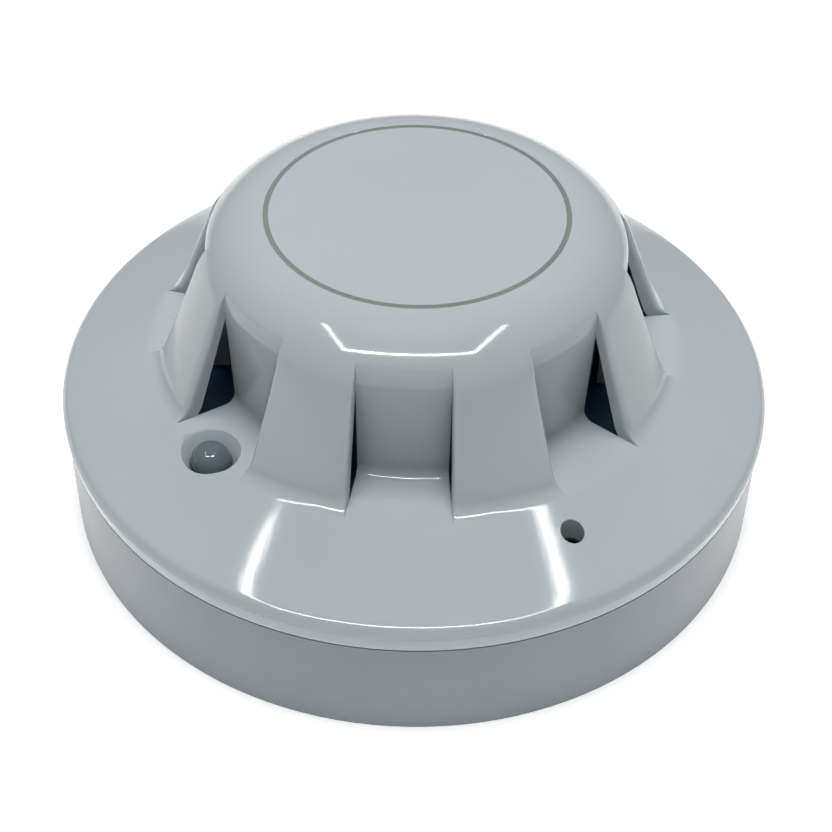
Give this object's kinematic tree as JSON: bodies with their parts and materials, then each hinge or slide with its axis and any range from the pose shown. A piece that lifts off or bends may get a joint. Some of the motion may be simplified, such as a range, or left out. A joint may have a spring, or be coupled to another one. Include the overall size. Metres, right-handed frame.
{
  "type": "point heat detector",
  "caption": "Round ceiling heat detector: a hooded, vented dome head with indicator and locking screw, twist-locked into a shallow wired mounting base.",
  "frame": {"origin": "centre of the mounting face", "axes": "+Z out of the mounting face towards the dome, +X through one fixing slot and the centre of a recess between hoods, -Y through another recess centre"},
  "size_m": [0.1, 0.1, 0.0452],
  "materials": {
    "cover_plastic": "glossy moulded cool white",
    "base_plastic": "semi-gloss moulded cool white",
    "ring_grey": "fine grey inlaid ring",
    "guard_black": "matte black moulded",
    "chassis_plastic": "satin moulded white",
    "seal_rubber": "soft black",
    "brass": "bright stamped",
    "plated_steel": "zinc plated",
    "spring_contact": "spring strip",
    "black_steel": "black oxide",
    "nylon": "natural nylon",
    "board_green": "solder resist",
    "chip_black": "moulded package",
    "led_body": "white package",
    "can_aluminium": "satin can",
    "clear_pipe": "translucent pale grey",
    "bead_epoxy": "dipped bead",
    "tinned_wire": "tinned wire"
  },
  "bodies": {
    "base": {"mounting_base": "base_plastic", "terminal_plate_1": "brass", "terminal_plate_2": "brass", "terminal_plate_3": "brass", "terminal_plate_4": "brass"},
    "head": {"head_cover": "cover_plastic", "top_ring": "ring_grey", "sensor_guard": "guard_black", "head_chassis": "chassis_plastic", "seal_ring": "seal_rubber", "lock_insert": "brass", "circuit_board": "board_green", "controller_chip": "chip_black", "bridge_rectifier": "chip_black", "alarm_led": "led_body", "capacitor_large": "can_aluminium", "capacitor_small": "can_aluminium", "light_pipe": "clear_pipe", "sensor_post": "chassis_plastic", "thermistor_bead": "bead_epoxy", "thermistor_lead_1": "tinned_wire", "thermistor_lead_2": "tinned_wire", "reference_thermistor": "bead_epoxy", "wiper_contact_1": "spring_contact", "contact_pin_1": "brass", "resistor_1": "chip_black", "wiper_contact_2": "spring_contact", "contact_pin_2": "brass", "resistor_2": "chip_black", "wiper_contact_3": "spring_contact", "contact_pin_3": "brass", "resistor_3": "chip_black", "wiper_contact_4": "spring_contact", "contact_pin_4": "brass", "resistor_4": "chip_black", "cover_screw_1": "plated_steel", "board_screw_1": "plated_steel", "cover_screw_2": "plated_steel", "board_screw_2": "plated_steel", "cover_screw_3": "plated_steel", "board_screw_3": "plated_steel"},
    "lock_tip_body": {"lock_tip": "nylon"},
    "lock_screw_body": {"locking_screw": "black_steel"},
    "clamp_1": {"terminal_clamp_1": "plated_steel"},
    "screw_1": {"terminal_screw_1": "plated_steel"},
    "clamp_2": {"terminal_clamp_2": "plated_steel"},
    "screw_2": {"terminal_screw_2": "plated_steel"},
    "clamp_3": {"terminal_clamp_3": "plated_steel"},
    "screw_3": {"terminal_screw_3": "plated_steel"},
    "clamp_4": {"terminal_clamp_4": "plated_steel"},
    "screw_4": {"terminal_screw_4": "plated_steel"}
  },
  "joints": [
    {"name": "head_twist", "type": "hinge", "parent": "base", "child": "head", "pos_m": [0, 0, 0.0152], "axis": [0, 0, 1], "range_deg": [0, 15]},
    {"name": "lock_feed", "type": "slide", "parent": "head", "child": "lock_tip_body", "axis": [0, 0, -1], "range_m": [0, 0.0015]},
    {"name": "lock_turn", "type": "hinge", "parent": "lock_tip_body", "child": "lock_screw_body", "pos_m": [0.02183, -0.03494, 0.0149], "axis": [0, 0, -1], "range_deg": [0, 1081]},
    {"name": "clamp_lift_1", "type": "slide", "parent": "base", "child": "clamp_1", "axis": [0, 0, 1], "range_m": [0, 0.002]},
    {"name": "screw_turn_1", "type": "hinge", "parent": "clamp_1", "child": "screw_1", "pos_m": [0.02334, 0.02334, 0.0074], "axis": [0, 0, 1], "range_deg": [0, 1201]},
    {"name": "clamp_lift_2", "type": "slide", "parent": "base", "child": "clamp_2", "axis": [0, 0, 1], "range_m": [0, 0.002]},
    {"name": "screw_turn_2", "type": "hinge", "parent": "clamp_2", "child": "screw_2", "pos_m": [-0.02334, 0.02334, 0.0074], "axis": [0, 0, 1], "range_deg": [0, 1201]},
    {"name": "clamp_lift_3", "type": "slide", "parent": "base", "child": "clamp_3", "axis": [0, 0, 1], "range_m": [0, 0.002]},
    {"name": "screw_turn_3", "type": "hinge", "parent": "clamp_3", "child": "screw_3", "pos_m": [-0.02334, -0.02334, 0.0074], "axis": [0, 0, 1], "range_deg": [0, 1201]},
    {"name": "clamp_lift_4", "type": "slide", "parent": "base", "child": "clamp_4", "axis": [0, 0, 1], "range_m": [0, 0.002]},
    {"name": "screw_turn_4", "type": "hinge", "parent": "clamp_4", "child": "screw_4", "pos_m": [0.02334, -0.02334, 0.0074], "axis": [0, 0, 1], "range_deg": [0, 1201]}
  ],
  "couplings": [
    {"joint": "lock_turn", "follows": "lock_feed", "rad_per_m": 12566},
    {"joint": "screw_turn_1", "follows": "clamp_lift_1", "rad_per_m": 10472},
    {"joint": "screw_turn_2", "follows": "clamp_lift_2", "rad_per_m": 10472},
    {"joint": "screw_turn_3", "follows": "clamp_lift_3", "rad_per_m": 10472},
    {"joint": "screw_turn_4", "follows": "clamp_lift_4", "rad_per_m": 10472}
  ]
}
